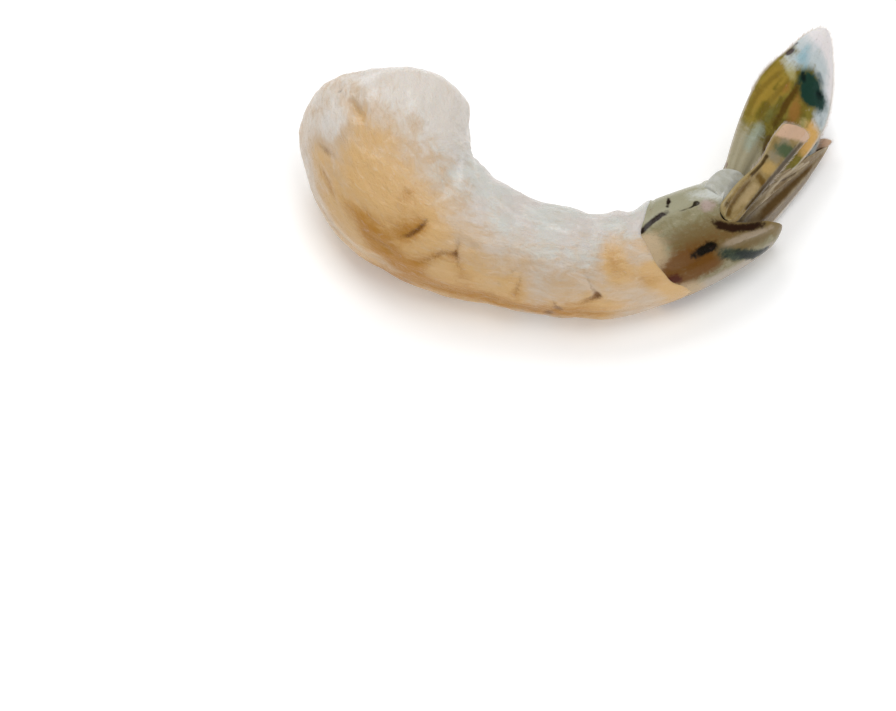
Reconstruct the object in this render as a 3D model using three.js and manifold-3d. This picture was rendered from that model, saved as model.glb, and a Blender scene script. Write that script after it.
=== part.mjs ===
// A raw whiteleg shrimp, headless and peeled down to its last segment, with that segment's shell
// and the tail fan left on. It lies on its flank in the curl that the muscle takes by itself: the
// cut neck at the back left, the back of the animal towards -Y, the tail fan at the right.
// Millimetres, +Z up, the origin on the surface under the middle of the whole outline.

import * as THREE from "three";
import { mergeVertices } from "three/addons/utils/BufferGeometryUtils.js";
import Module from "manifold-3d";

const wasm = await Module();
wasm.setup();

const rad = THREE.MathUtils.degToRad;

// Abdomen, from the cut neck to the tail. Each segment has its length along the middle line and
// the degrees that it turns towards the belly. At its middle it has the distances from that line
// to the back, to the belly and to either flank, and the degrees that the back rolls downwards.
const SEGMENTS = [
  { length: 14, turn: 4, back: 13.6, belly: 15.4, flank: 11.4, roll: 4 },
  { length: 14, turn: 46, back: 12.2, belly: 14.4, flank: 10.4, roll: 7 },
  { length: 14, turn: 26, back: 9.8, belly: 11.5, flank: 9.0, roll: 10 },
  { length: 14, turn: 8, back: 9.2, belly: 9.0, flank: 8.2, roll: 13 },
  { length: 13, turn: 27, back: 8.8, belly: 8.3, flank: 7.8, roll: 16 },
  { length: 17, turn: 22, back: 8.3, belly: 7.9, flank: 7.0, roll: 19 },
];
const NECK = { heading: -92, back: 11.8, belly: 14.0, flank: 9.6, roll: 4 };
const REAR = { back: 7.6, belly: 6.8, flank: 5.8, roll: 20 };
const HOOD_TIP = { back: 4.2, belly: 6.0, flank: 4.2, roll: 20 };
const SINK = 0.5; // how far the soft flank settles into a flat spot
const TAIL_LIFT = { rise: 1.0, run: 39 }; // the tail end stands off the surface

// Meat: the rounded neck, the blunt end inside the shell, and how it narrows to go under there.
const NECK_CAP = { long: 9, fullness: 0.7, rows: 0.15 };
const INNER_CAP = { behind: 9, long: 2.5, fullness: 0.6, rows: 0.07 };
const TUCK = { gap: 0.35, start: -1.6, end: -0.4 };
const MEAT = { around: 36, rows: 64 };

// Relief of the peeled meat: the creases between segments, the seams along the back and the belly,
// and the hollow in the flank of the neck.
const CREASE = { depth: 0.45, belly: 0.3, half: 1.3, bow: 2.4 };
const BACK_SEAM = { depth: 0.7, half: 0.9, angle: rad(90), start: 5, end: 66, fade: 5 };
const BELLY_SEAM = { depth: 1.0, half: 2.0, angle: rad(-90), start: 4, end: 66, fade: 5 };
const NECK_PIT = { depth: 1.6, angle: rad(26), s: 6, wide: rad(13), long: 3.0 };
const SMOOTH = { start: -4, end: -1 }; // the relief ends before the shell

// Shell of the last segment: a sleeve with a forward lobe on each flank, a notch below the lobe,
// flanks cut back at the rear, a pocket on each for the base of the fan leaves, and a hood over the
// base of the telson.
const SHELL = { wall: 0.7, edge: 0.25, around: 36, section: 24 };
const LOBE = { reach: 4.2, angle: rad(-20), wide: rad(22) };
const NOTCH = { reach: 1.4, angle: rad(-48), wide: rad(12) };
const HOOD = { reach: 5.5, from: 0.5, full: 0.98, run: 10 };
const CUT = { reach: 5.5, from: 0.2, full: 0.65 };
const POCKET = { reach: 3.2, angle: rad(26), wide: rad(20) };
const LEAN = 8; // how far from the shell's front edge the rows still follow it

// Tail fan, placed from the middle of the shell's rear edge: tail, back and side are distances
// rearwards, towards the back and out to the flank. flex turns a piece towards the belly, splay
// turns it outwards and fold turns its outer edge down towards the belly, in degrees. widest is
// the share of the length with the full width, base the share of the width at the base, and a
// high tip makes a blunt one. ribs are raised or sunk lines along the outer face.
const TELSON = {
  tail: -4.4, back: 2.0, side: 0, flex: 7, splay: 0, fold: 34,
  length: 27, width: 7.6, thick: 2.4, widest: 0.2, base: 0.8, tip: 1.25, camber: -0.5, bow: 0,
  ribs: [{ q: 0, rise: -0.7, half: 0.17 }, { q: 0.42, rise: 0.3, half: 0.16 }, { q: -0.42, rise: 0.3, half: 0.16 }],
};
const ENDOPOD = {
  tail: -6.2, back: 0.7, side: 5.2, flex: 17, splay: 8, fold: 62,
  length: 23.8, width: 6.8, thick: 1.1, widest: 0.6, base: 0.75, tip: 2.6, camber: 0.6, bow: 0.6,
  ribs: [{ q: 0.05, rise: -0.25, half: 0.3 }, { q: -0.62, rise: 0.2, half: 0.14 }],
};
const EXOPOD = {
  tail: 4.4, back: -4.0, side: 3.4, flex: 24, splay: 12, fold: 76,
  length: 30.8, width: 12.6, thick: 1.0, widest: 0.54, base: 0.62, tip: 1.8, camber: 0.8, bow: 1.0,
  ribs: [{ q: -0.1, rise: 0.35, half: 0.12 }, { q: 0.35, rise: 0.2, half: 0.1 }],
};
const PROTOPOD = {
  tail: -4.9, back: -3.5, side: 2.9, flex: 10, splay: 4, fold: 78,
  length: 8.8, width: 6.8, thick: 5.0, widest: 0.4, base: 0.9, tip: 3, camber: 0, bow: 0,
  ribs: [],
};
const LOWER = { flex: -9, splay: -12, back: -0.5 }; // how the lower half, pressed flat, differs
const BLADE = { around: 24, rows: 16, thinning: 0.55, edge: 0.8, heel: 0.08 };

const smoothstep = (low, high, x) => THREE.MathUtils.smoothstep(x, low, high);
const bell = (x, half) => Math.exp(-((x / half) ** 2));

// Where each segment starts along the middle line. The last is the one with the shell.
const starts = SEGMENTS.map((_, i) => SEGMENTS.slice(0, i).reduce((sum, g) => sum + g.length, 0));
const SHELL_START = starts.at(-1);
const LENGTH = SHELL_START + SEGMENTS.at(-1).length;

// A measure of the body as stations [s, value]: the neck, the middles of the segments, the rear
// edge of the shell's flanks and the tip of its hood.
function stations(name) {
  const middles = SEGMENTS.map((g, i) => [starts[i] + g.length / 2, g[name]]);
  return [[0, NECK[name]], ...middles, [LENGTH, REAR[name]], [LENGTH + HOOD.reach, HOOD_TIP[name]]];
}
const GIRTH = { back: stations("back"), belly: stations("belly"), flank: stations("flank") };
const ROLL = stations("roll");
const TURN = SEGMENTS.map((g, i) => [starts[i] + g.length / 2, g.turn / g.length]);

// Smooth curve through stations, with the slope at each taken from its neighbours.
function along(list, s) {
  const last = list.length - 1;
  let i = 0;
  while (i < last - 1 && s > list[i + 1][0]) i += 1;
  const slope = (k) => {
    const [s0, v0] = list[Math.max(k - 1, 0)];
    const [s1, v1] = list[Math.min(k + 1, last)];
    return (v1 - v0) / (s1 - s0);
  };
  const [a, va] = list[i];
  const [b, vb] = list[i + 1];
  const h = b - a;
  const t = THREE.MathUtils.clamp((s - a) / h, 0, 1);
  const rise = 3 * t ** 2 - 2 * t ** 3;
  const leave = t ** 3 - 2 * t ** 2 + t;
  const arrive = t ** 3 - t ** 2;
  return va * (1 - rise) + vb * rise + h * (slope(i) * leave + slope(i + 1) * arrive);
}

// Height of the middle line, from the half height of the rolled section that lies on the surface.
function restHeight(s) {
  const roll = rad(along(ROLL, s));
  const half = Math.hypot(along(GIRTH.flank, s) * Math.cos(roll), along(GIRTH.back, s) * Math.sin(roll));
  return half - SINK + TAIL_LIFT.rise * smoothstep(LENGTH - TAIL_LIFT.run, LENGTH, s);
}

// Middle line, walked in short steps while the heading turns.
const STEP = 0.5;
function walk() {
  const points = [];
  const at = new THREE.Vector3();
  let heading = rad(NECK.heading);
  for (let s = 0; s <= LENGTH + STEP; s += STEP) {
    points.push(new THREE.Vector3(at.x, at.y, restHeight(s)));
    heading += rad(along(TURN, s)) * STEP;
    at.x += Math.cos(heading) * STEP;
    at.y += Math.sin(heading) * STEP;
  }
  return points;
}
const spine = walk();

function spineAt(s) {
  const i = Math.min(Math.floor(s / STEP), spine.length - 2);
  return spine[i].clone().lerp(spine[i + 1], s / STEP - i);
}

// At s: the middle point, the direction to the tail, and the ones to the back and upper flank.
// Past either end of the middle line it runs on straight.
function frameAt(s) {
  const inside = THREE.MathUtils.clamp(s, STEP, LENGTH - STEP);
  const tail = spineAt(inside + STEP).sub(spineAt(inside - STEP)).normalize();
  const level = new THREE.Vector3().crossVectors(tail, new THREE.Vector3(0, 0, 1)).normalize();
  const upright = new THREE.Vector3().crossVectors(level, tail);
  const roll = rad(along(ROLL, s));
  const back = level.clone().multiplyScalar(Math.cos(roll)).addScaledVector(upright, -Math.sin(roll));
  const flank = upright.clone().multiplyScalar(Math.cos(roll)).addScaledVector(level, Math.sin(roll));
  const point = spineAt(inside).addScaledVector(tail, s - inside);
  return { point, tail, back, flank };
}

// Point of the skin at s and at angle phi round the body: 0 is the upper flank, 90 degrees the
// back, 270 degrees the belly. inset moves it towards the middle line.
function skinPoint(s, phi, inset = 0, scale = 1) {
  const f = frameAt(s);
  const toBack = Math.sin(phi);
  const toFlank = Math.cos(phi);
  const deep = along(toBack >= 0 ? GIRTH.back : GIRTH.belly, s) * scale - inset;
  const wide = along(GIRTH.flank, s) * scale - inset;
  return f.point.addScaledVector(f.back, toBack * deep).addScaledVector(f.flank, toFlank * wide);
}

// Angle above or below the flank, the same on both flanks: 90 at the back, -90 at the belly.
const foldOf = (phi) => Math.asin(THREE.MathUtils.clamp(Math.sin(phi), -1, 1));

// Rearward reach of the shell's front edge. Rows of the body lean with it near that edge.
function frontLean(phi) {
  const fold = foldOf(phi);
  return NOTCH.reach * bell(fold - NOTCH.angle, NOTCH.wide) - LOBE.reach * bell(fold - LOBE.angle, LOBE.wide);
}
const leant = (s, phi) => s + frontLean(phi) * bell(s - SHELL_START, LEAN);

// Rearward reach of the shell's rear edge: the hood over the telson, less the cut of the flanks
// and their pockets.
function rearLean(phi) {
  const toBack = Math.sin(phi);
  const hood = HOOD.reach * smoothstep(HOOD.from, HOOD.full, toBack);
  const cut = CUT.reach * (1 - smoothstep(CUT.from, CUT.full, toBack));
  return hood - cut - POCKET.reach * bell(foldOf(phi) - POCKET.angle, POCKET.wide);
}

// Depth of the creases between the peeled segments, bowed back on the flanks.
function creases(s, phi) {
  const depth = THREE.MathUtils.lerp(CREASE.depth, CREASE.belly, Math.max(0, -Math.sin(phi)));
  const bow = CREASE.bow * Math.cos(phi) ** 2;
  return starts.slice(1, -1).reduce((sum, start) => sum + depth * bell(s - start - bow, CREASE.half), 0);
}

// Depth of a seam that runs along the body.
function seamDepth(seam, s, phi) {
  const from = smoothstep(seam.start, seam.start + seam.fade, s);
  const part = from * (1 - smoothstep(seam.end - seam.fade, seam.end, s));
  return seam.depth * part * bell((foldOf(phi) - seam.angle) * along(GIRTH.flank, s), seam.half);
}

// Depth of the hollow in the upper flank of the neck.
function pitDepth(s, phi) {
  if (Math.cos(phi) <= 0) return 0;
  return NECK_PIT.depth * bell(foldOf(phi) - NECK_PIT.angle, NECK_PIT.wide) * bell(s - NECK_PIT.s, NECK_PIT.long);
}

// Moves every vertex of a closed three.js surface to the place that place(u, v) works out.
function warped(surface, place) {
  const uv = surface.getAttribute("uv");
  const position = surface.getAttribute("position");
  for (let i = 0; i < position.count; i += 1) {
    position.setXYZ(i, ...place(uv.getX(i), uv.getY(i)).toArray());
  }
  surface.deleteAttribute("normal");
  surface.deleteAttribute("uv");
  return mergeVertices(surface, 1e-4);
}

// Solid of a closed surface, with its faces turned outwards.
function solid(geometry) {
  const triVerts = new Uint32Array(geometry.index.array);
  const vertProperties = new Float32Array(geometry.getAttribute("position").array);
  const made = new wasm.Manifold(new wasm.Mesh({ numProp: 3, vertProperties, triVerts }));
  if (made.volume() > 0) return made;
  for (let i = 0; i < triVerts.length; i += 3) {
    [triVerts[i + 1], triVerts[i + 2]] = [triVerts[i + 2], triVerts[i + 1]];
  }
  return new wasm.Manifold(new wasm.Mesh({ numProp: 3, vertProperties, triVerts }));
}

// Closed body of rows from one end to the other: at(row, phi) gives the point, for a row from 0 to
// 1 and an angle phi round the body. Both ends are single points.
function rowsBody(around, rows, at) {
  return solid(warped(new THREE.SphereGeometry(1, around, rows), (u, v) => {
    const row = 1 - v;
    const pole = row < 1e-6 || row > 1 - 1e-6;
    return at(row, pole ? 0 : 2 * Math.PI * u);
  }));
}

// Place along the middle line and scale of the section at a row of the meat.
function meatRow(row) {
  const end = LENGTH - INNER_CAP.behind;
  if (row < NECK_CAP.rows) {
    const turn = (row / NECK_CAP.rows) * (Math.PI / 2);
    return { s: NECK_CAP.long * (1 - Math.cos(turn)), scale: Math.sin(turn) ** NECK_CAP.fullness };
  }
  if (row > 1 - INNER_CAP.rows) {
    const turn = ((1 - row) / INNER_CAP.rows) * (Math.PI / 2);
    return { s: end - INNER_CAP.long * (1 - Math.cos(turn)), scale: Math.sin(turn) ** INNER_CAP.fullness };
  }
  const t = (row - NECK_CAP.rows) / (1 - NECK_CAP.rows - INNER_CAP.rows);
  return { s: THREE.MathUtils.lerp(NECK_CAP.long, end - INNER_CAP.long, t), scale: 1 };
}

// The peeled meat of all segments, one muscle. Its rear goes into the shell and ends there.
function meat() {
  return rowsBody(MEAT.around, MEAT.rows, (row, phi) => {
    const { s, scale } = meatRow(row);
    const tuck = (SHELL.wall + TUCK.gap) * smoothstep(SHELL_START + TUCK.start, SHELL_START + TUCK.end, s);
    const bare = 1 - smoothstep(SHELL_START + SMOOTH.start, SHELL_START + SMOOTH.end, s);
    const relief = creases(s, phi) + seamDepth(BACK_SEAM, s, phi) + seamDepth(BELLY_SEAM, s, phi) + pitDepth(s, phi);
    const p = skinPoint(scale > 0 ? leant(s, phi) : s, phi, (tuck + relief * bare) * scale, scale);
    p.z = Math.max(p.z, 0);
    return p;
  });
}

// The shell's sleeve: a section that runs along its outside from front to rear and back along its
// inside, carried round the body. Both rims are half the wall deep.
function tailShell() {
  const ring = new THREE.TorusGeometry(1, 0.4, SHELL.section, SHELL.around);
  return solid(warped(ring, (u, v) => {
    const half = (2 * v) % 2;
    const run = half <= 1 ? half : 2 - half;
    const rim = half < 1e-6 || Math.abs(half - 1) < 1e-6;
    const inset = half <= 1 ? 0 : SHELL.wall;
    const s = THREE.MathUtils.lerp(SHELL_START + SHELL.edge, LENGTH, run);
    const phi = 2 * Math.PI * u;
    const rear = rearLean(phi) * smoothstep(LENGTH - HOOD.run, LENGTH, s);
    return skinPoint(leant(s, phi) + rear, phi, rim ? SHELL.wall / 2 : inset);
  }));
}

// Half width of a fan piece at t, from 0 at its base to 1 at its tip.
function halfWidth(spec, t) {
  const rise = spec.base + (1 - spec.base) * Math.sin((Math.min(t / spec.widest, 1) * Math.PI) / 2);
  const toTip = THREE.MathUtils.clamp((t - spec.widest) / (1 - spec.widest), 0, 1);
  const fall = (1 - toTip ** spec.tip) ** (1 / Math.min(spec.tip, 2));
  const heel = Math.sqrt(1 - (1 - Math.min(t / BLADE.heel, 1)) ** 2);
  return (spec.width / 2) * rise * fall * heel;
}

// Directions of a fan piece on the upper side of the animal (side 1) or the lower one (side -1):
// axis to its tip, across to its outer edge and face out of its outer face.
function bladeFrame(spec, side) {
  const f = frameAt(LENGTH);
  const lower = side < 0 ? 1 : 0;
  const flex = rad(spec.flex + lower * LOWER.flex);
  const splay = rad(spec.splay + lower * LOWER.splay);
  const fold = rad(spec.fold);
  const out = f.flank.clone().multiplyScalar(side);
  const down = f.tail.clone().multiplyScalar(Math.cos(flex)).addScaledVector(f.back, -Math.sin(flex));
  const axis = down.clone().multiplyScalar(Math.cos(splay)).addScaledVector(out, Math.sin(splay));
  const flat = out.clone().multiplyScalar(Math.cos(splay)).addScaledVector(down, -Math.sin(splay));
  const over = f.back.clone().multiplyScalar(Math.cos(flex)).addScaledVector(f.tail, Math.sin(flex));
  const across = flat.clone().multiplyScalar(Math.cos(fold)).addScaledVector(over, -Math.sin(fold));
  const face = over.clone().multiplyScalar(Math.cos(fold)).addScaledVector(flat, Math.sin(fold));
  const base = f.point.clone().addScaledVector(f.tail, spec.tail)
    .addScaledVector(f.back, spec.back + lower * LOWER.back).addScaledVector(out, spec.side);
  return { base, axis, across, face };
}

// Height of the ribs at t along a fan piece and q across it, from -1 to 1. They fade to the tip.
function ribHeight(spec, t, q) {
  const fade = Math.cos((t * Math.PI) / 2);
  return spec.ribs.reduce((sum, rib) => sum + rib.rise * fade * bell(q - rib.q, rib.half), 0);
}

// A piece of the fan: rows from base to tip, each a thin lens, cambered across, bowed along and
// ribbed on its outer face.
function fanPiece(spec, side) {
  const f = bladeFrame(spec, side);
  return rowsBody(BLADE.around, BLADE.rows, (row, phi) => {
    const t = (1 - Math.cos(Math.PI * row)) / 2;
    const q = Math.cos(phi);
    const half = halfWidth(spec, t);
    const full = THREE.MathUtils.clamp(half / (spec.width / 4), 0, 1);
    const swell = Math.sign(Math.sin(phi)) * Math.abs(Math.sin(phi)) ** BLADE.edge;
    const lens = (spec.thick / 2) * (1 - BLADE.thinning * t) * swell;
    const ribbed = phi < Math.PI ? ribHeight(spec, t, q) * Math.abs(swell) : 0;
    const rise = (lens + ribbed - spec.camber * q ** 2) * full + spec.bow * (t ** 2 - t);
    return f.base.clone().addScaledVector(f.axis, t * spec.length)
      .addScaledVector(f.across, q * half).addScaledVector(f.face, rise);
  });
}

// Surfaces: wet grey-white flesh and the brown, grey and olive cuticle of the tail.
const surface = (color, roughness) => new THREE.MeshStandardMaterial({ color, roughness, metalness: 0 });
const fleshSurface = () => surface(0xd9cdba, 0.35);
const shellSurface = () => surface(0x9a907c, 0.3);
const telsonSurface = () => surface(0xa48c66, 0.3);
const protopodSurface = () => surface(0xb9b5a8, 0.3);
const endopodSurface = () => surface(0xa08a5c, 0.3);
const exopodSurface = () => surface(0x8c8455, 0.3);

// Mesh of a solid.
function mesh(name, made, material) {
  const { vertProperties, triVerts } = made.getMesh();
  const geometry = new THREE.BufferGeometry();
  geometry.setAttribute("position", new THREE.BufferAttribute(new Float32Array(vertProperties), 3));
  geometry.setIndex(new THREE.BufferAttribute(new Uint32Array(triVerts), 1));
  geometry.computeVertexNormals();
  const piece = new THREE.Mesh(geometry, material);
  piece.name = name;
  return piece;
}

const pieces = new THREE.Group();
pieces.add(mesh("meat", meat(), fleshSurface()));
pieces.add(mesh("tail_shell", tailShell(), shellSurface()));
pieces.add(mesh("telson", fanPiece(TELSON, 1), telsonSurface()));
for (const [name, side] of [["upper", 1], ["lower", -1]]) {
  pieces.add(mesh(`${name}_protopod`, fanPiece(PROTOPOD, side), protopodSurface()));
  pieces.add(mesh(`${name}_endopod`, fanPiece(ENDOPOD, side), endopodSurface()));
  pieces.add(mesh(`${name}_exopod`, fanPiece(EXOPOD, side), exopodSurface()));
}

// The middle of the outline goes over the origin.
const outline = new THREE.Box3().setFromObject(pieces);
const middle = outline.getCenter(new THREE.Vector3());
pieces.position.set(-middle.x, -middle.y, -outline.min.z);

const shrimp = new THREE.Group();
shrimp.add(pieces);
export default shrimp;
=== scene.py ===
# A raw whiteleg shrimp, headless and peeled down to its last segment. That segment keeps its
# shell, and the tail fan is left on. It lies on its flank in the muscle's own curl.
# Built from the neck to the tip of the fan, then the table and the light.

import math

import bpy
import numpy as np
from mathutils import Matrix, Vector


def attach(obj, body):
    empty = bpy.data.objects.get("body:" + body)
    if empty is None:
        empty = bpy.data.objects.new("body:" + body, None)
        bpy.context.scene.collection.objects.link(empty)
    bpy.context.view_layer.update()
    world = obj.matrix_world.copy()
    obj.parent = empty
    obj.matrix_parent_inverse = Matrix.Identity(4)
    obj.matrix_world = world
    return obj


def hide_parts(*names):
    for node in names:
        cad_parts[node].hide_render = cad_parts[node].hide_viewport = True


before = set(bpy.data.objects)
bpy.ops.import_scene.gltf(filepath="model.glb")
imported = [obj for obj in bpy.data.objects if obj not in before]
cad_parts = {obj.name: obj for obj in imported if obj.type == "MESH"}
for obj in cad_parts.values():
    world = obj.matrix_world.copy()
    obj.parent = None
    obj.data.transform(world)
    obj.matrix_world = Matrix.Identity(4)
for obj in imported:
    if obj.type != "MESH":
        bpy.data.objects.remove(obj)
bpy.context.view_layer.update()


# Abdominal muscle. One soft, half-clear muscle in six segments, peeled by hand, with shallow
# creases where the shell plates sat. It is blunt and puckered where the head was pulled off,
# and its last part goes into the tail shell, which holds it.

MM = 0.001
PLACE = np.array((-31.0186, 15.6286, 0.0))

# Each segment: length, degrees turned, distances to back, belly and flank, degrees rolled.
SEGMENTS = np.array([
    (14, 4, 13.6, 15.4, 11.4, 4),
    (14, 46, 12.2, 14.4, 10.4, 7),
    (14, 26, 9.8, 11.5, 9.0, 10),
    (14, 8, 9.2, 9.0, 8.2, 13),
    (13, 27, 8.8, 8.3, 7.8, 16),
    (17, 22, 8.3, 7.9, 7.0, 19),
], float)
NECK = (11.8, 14.0, 9.6, 4)
REAR = (7.6, 6.8, 5.8, 20)
HOOD_TIP = (4.2, 6.0, 4.2, 20)
NECK_HEADING = math.radians(-92)
SINK = 0.5
TAIL_RISE = 1.0
TAIL_RUN = 39.0
HOOD_REACH = 5.5
STEP = 0.5

starts = np.concatenate(([0.0], np.cumsum(SEGMENTS[:, 0])))
middles = starts[:-1] + SEGMENTS[:, 0] / 2
SHELL_START = starts[-2]
LENGTH = starts[-1]
places = np.concatenate(([0.0], middles, [LENGTH, LENGTH + HOOD_REACH]))
girths = np.vstack((NECK, SEGMENTS[:, 2:], REAR, HOOD_TIP))
BACK, BELLY, FLANK, ROLL = range(4)


def ease(low, high, x):
    """0 below low and 1 above high, with a soft step between. high may be the lower one."""
    t = np.clip((x - low) / (high - low), 0, 1)
    return t * t * (3 - 2 * t)


def bell(x, half):
    return np.exp(-((x / half) ** 2))


def along(x, y, s):
    """Smooth curve through stations, each slope taken from the two neighbours."""
    s = np.clip(s, x[0], x[-1])
    i = np.clip(np.searchsorted(x, s) - 1, 0, len(x) - 2)
    before = np.maximum(np.arange(len(x)) - 1, 0)
    after = np.minimum(np.arange(len(x)) + 1, len(x) - 1)
    slope = (y[after] - y[before]) / (x[after] - x[before])
    h = x[i + 1] - x[i]
    t = (s - x[i]) / h
    rise = 3 * t**2 - 2 * t**3
    bend = slope[i] * (t**3 - 2 * t**2 + t) + slope[i + 1] * (t**3 - t**2)
    return y[i] * (1 - rise) + y[i + 1] * rise + h * bend


def girth(column, s):
    return along(places, girths[:, column], s)


def unit(v):
    return v / np.linalg.norm(v, axis=-1, keepdims=True)


def walked(steps):
    return np.concatenate(([0.0], np.cumsum(steps)[:-1])) * STEP


line_s = np.arange(0, LENGTH + STEP + 1e-9, STEP)
turns = np.radians(along(middles, SEGMENTS[:, 1] / SEGMENTS[:, 0], line_s))
headings = NECK_HEADING + np.cumsum(turns) * STEP
line_roll = np.radians(girth(ROLL, line_s))
half_height = np.hypot(girth(FLANK, line_s) * np.cos(line_roll), girth(BACK, line_s) * np.sin(line_roll))
line_z = half_height - SINK + TAIL_RISE * ease(LENGTH - TAIL_RUN, LENGTH, line_s)
line = np.stack((walked(np.cos(headings)), walked(np.sin(headings)), line_z), -1)


def line_at(s):
    return np.stack([np.interp(s, line_s, line[:, k]) for k in range(3)], -1)


def body_frame(s):
    """At s: the middle point, and the directions to the tail, the back and the upper flank."""
    inside = np.clip(s, STEP, LENGTH - STEP)
    tail = unit(line_at(inside + STEP) - line_at(inside - STEP))
    level = unit(np.cross(tail, (0.0, 0.0, 1.0)))
    upright = np.cross(level, tail)
    roll = np.radians(girth(ROLL, s))[..., None]
    back = level * np.cos(roll) - upright * np.sin(roll)
    flank = upright * np.cos(roll) + level * np.sin(roll)
    return line_at(inside) + tail * (s - inside)[..., None], tail, back, flank


def skin(s, phi, inset=0.0, scale=1.0):
    """Point at s and at phi round the body: 0 the upper flank, 90 degrees the back, -90 the belly."""
    point, _, back, flank = body_frame(s)
    deep = np.where(np.sin(phi) >= 0, girth(BACK, s), girth(BELLY, s)) * scale - inset
    wide = girth(FLANK, s) * scale - inset
    return point + back * (np.sin(phi) * deep)[..., None] + flank * (np.cos(phi) * wide)[..., None]


def fold_of(phi):
    """Degrees above or below either flank: 90 at the back, -90 at the belly."""
    return np.degrees(np.arcsin(np.clip(np.sin(phi), -1, 1)))


# The shell's front edge leans with the fold: a lobe on each flank, drawn back over the belly.
EDGE_FOLDS = np.array((-90, -60, -48, -38, -27, -18, -9, 0, 12, 30, 45, 58, 72, 90), float)
EDGE_LEANS = np.array((2.6, 0.9, -0.3, -1.2, -2.1, -2.9, -3.5, -3.6, -3.3, -2.8, -1.9, -1.1, 0.6, 1.8))


def front_lean(phi):
    return along(EDGE_FOLDS, EDGE_LEANS, fold_of(phi))


def leant(s, phi):
    return s + front_lean(phi) * bell(s - SHELL_START, 8)


# How far the flesh and the shell stand out past the plain rule, in mm: a curve for the belly, and a
# swelling of the back before the shell.
FULLER_S = np.array((0, 16, 24, 32, 40, 48, 54, 59, 63, 68, 74, 86), float)
FULLER = np.array((0, 0, 0.8, 1.4, 1.3, 0.8, 0.1, -0.5, -0.1, 0.5, 0.7, 0.1))


def fuller(s, phi):
    belly_side = along(FULLER_S, FULLER, s) * bell(fold_of(phi) + 72, 34)
    return belly_side + 0.85 * bell(s - 57, 8) * bell(fold_of(phi) - 74, 30)


class Canvas:
    """A surface laid out flat in millimetres, to put soft spots and drawn lines on."""

    def __init__(self, u, v, place):
        self.u = u
        self.v = v
        self.place = place

    def spot(self, a, b, long, wide):
        u0, v0 = self.place(a, b)
        return np.exp(-(((self.u - u0) / long) ** 2) - ((self.v - v0) / wide) ** 2)

    def spots(self, *rows):
        """Sum of spots, each given as its strength and then what spot takes."""
        return sum(strength * self.spot(*row) for strength, *row in rows)

    def line(self, points, half):
        """1 on the line, falling off over half a width. A third number in a point thins it."""
        best = np.zeros(np.shape(self.u))
        for first, last in zip(points, points[1:]):
            u0, v0 = self.place(*first[:2])
            u1, v1 = self.place(*last[:2])
            du, dv = u1 - u0, v1 - v0
            t = np.clip(((self.u - u0) * du + (self.v - v0) * dv) / (du * du + dv * dv), 0, 1)
            w0 = first[2] if len(first) > 2 else 1.0
            w1 = last[2] if len(last) > 2 else 1.0
            far = np.hypot(self.u - u0 - t * du, self.v - v0 - t * dv)
            best = np.maximum(best, bell(far, half) * (w0 + (w1 - w0) * t))
        return best

    def lines(self, *rows):
        """Sum of lines, each given as its strength, its half width and its points."""
        return sum(strength * self.line(points, half) for strength, half, *points in rows)


def shown(name, data):
    thing = bpy.data.objects.new(name, data)
    bpy.context.scene.collection.objects.link(thing)
    return thing


def keep_mark(mesh, mark, values):
    """Keeps a number or a vector at each point of a mesh, for nodes to read."""
    values = np.ascontiguousarray(values, np.float32)
    kind, field = ("FLOAT", "value") if values.ndim == 1 else ("FLOAT_VECTOR", "vector")
    mesh.attributes.new(mark, kind, "POINT").data.foreach_set(field, values.ravel())


def closed_mesh(name, grid, marks, poles=True):
    """Smooth mesh of rows of points in millimetres. The first and last row are single points, or,
    without poles, the rows close on themselves. marks are numbers or vectors kept at each point."""
    rows, around = grid.shape[:2]

    def spread(values):
        if not poles:
            return values.reshape((-1,) + values.shape[2:])
        body = values[1:-1].reshape((-1,) + values.shape[2:])
        return np.concatenate((values[:1, 0], body, values[-1:, 0]))

    rings = rows - 2 if poles else rows
    ring = np.arange(rings * around).reshape(rings, around)
    ring = ring + 1 if poles else np.vstack((ring, ring[:1]))
    a, b = ring[:-1], ring[1:]
    quads = np.stack((a, np.roll(a, -1, 1), np.roll(b, -1, 1), b), -1).reshape(-1, 4)
    faces = quads.tolist()
    points = spread(grid)
    if poles:
        last = len(points) - 1
        faces += [(0, int(q), int(p)) for p, q in zip(ring[0], np.roll(ring[0], -1))]
        faces += [(last, int(p), int(q)) for p, q in zip(ring[-1], np.roll(ring[-1], -1))]
    first, second, third, fourth = (points[quads[:, k]] for k in range(4))
    volume = (first * (np.cross(second, third) + np.cross(third, fourth))).sum()
    if volume < 0:
        faces = [face[::-1] for face in faces]
    mesh = bpy.data.meshes.new(name)
    mesh.from_pydata(((points + PLACE) * MM).tolist(), [], faces)
    mesh.polygons.foreach_set("use_smooth", np.ones(len(mesh.polygons), bool))
    for mark, values in marks.items():
        keep_mark(mesh, mark, spread(values))
    mesh.update()
    return shown(name, mesh)


class Wire:
    """An output in a node tree. Sums and products of wires and numbers become Math nodes."""

    def __init__(self, nodes, socket):
        self.nodes = nodes
        self.socket = socket

    def _math(self, operation, *values):
        return self.nodes.add("ShaderNodeMath", {"operation": operation}, dict(enumerate(values)))

    def __add__(self, other):
        return self._math("ADD", self, other)

    def __radd__(self, other):
        return self._math("ADD", other, self)

    def __sub__(self, other):
        return self._math("SUBTRACT", self, other)

    def __rsub__(self, other):
        return self._math("SUBTRACT", other, self)

    def __mul__(self, other):
        return self._math("MULTIPLY", self, other)

    def __rmul__(self, other):
        return self._math("MULTIPLY", other, self)


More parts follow.
